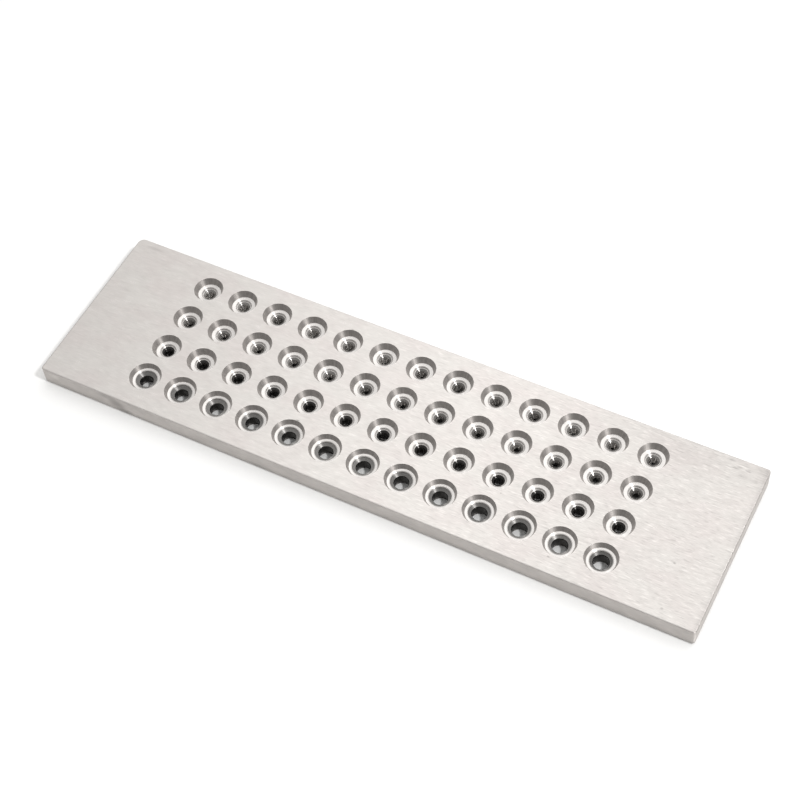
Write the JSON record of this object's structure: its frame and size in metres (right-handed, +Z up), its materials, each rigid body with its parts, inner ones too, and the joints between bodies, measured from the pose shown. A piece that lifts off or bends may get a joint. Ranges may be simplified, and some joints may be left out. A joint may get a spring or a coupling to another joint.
{
  "type": "wire draw plate",
  "caption": "Flat steel draw plate with rows of funnel-shaped holes, each with a pressed-in carbide core, for drawing round wire thinner.",
  "frame": {"origin": "middle of the flat bottom face, where the wire leaves", "axes": "+X along the plate towards the coarser holes of each row, +Y towards the finest row, +Z up to the face with the conical mouths"},
  "size_m": [0.21, 0.057, 0.0063],
  "materials": {
    "plate_steel": "brushed along the length, satin",
    "carbide": "ground tungsten carbide, dark grey"
  },
  "bodies": {
    "root": {"draw_plate": "plate_steel", "core_row1_01": "carbide", "core_row1_02": "carbide", "core_row1_03": "carbide", "core_row1_04": "carbide", "core_row1_05": "carbide", "core_row1_06": "carbide", "core_row1_07": "carbide", "core_row1_08": "carbide", "core_row1_09": "carbide", "core_row1_10": "carbide", "core_row1_11": "carbide", "core_row1_12": "carbide", "core_row1_13": "carbide", "core_row2_01": "carbide", "core_row2_02": "carbide", "core_row2_03": "carbide", "core_row2_04": "carbide", "core_row2_05": "carbide", "core_row2_06": "carbide", "core_row2_07": "carbide", "core_row2_08": "carbide", "core_row2_09": "carbide", "core_row2_10": "carbide", "core_row2_11": "carbide", "core_row2_12": "carbide", "core_row2_13": "carbide", "core_row3_01": "carbide", "core_row3_02": "carbide", "core_row3_03": "carbide", "core_row3_04": "carbide", "core_row3_05": "carbide", "core_row3_06": "carbide", "core_row3_07": "carbide", "core_row3_08": "carbide", "core_row3_09": "carbide", "core_row3_10": "carbide", "core_row3_11": "carbide", "core_row3_12": "carbide", "core_row3_13": "carbide", "core_row4_01": "carbide", "core_row4_02": "carbide", "core_row4_03": "carbide", "core_row4_04": "carbide", "core_row4_05": "carbide", "core_row4_06": "carbide", "core_row4_07": "carbide", "core_row4_08": "carbide", "core_row4_09": "carbide", "core_row4_10": "carbide", "core_row4_11": "carbide", "core_row4_12": "carbide", "core_row4_13": "carbide"}
  },
  "joints": []
}
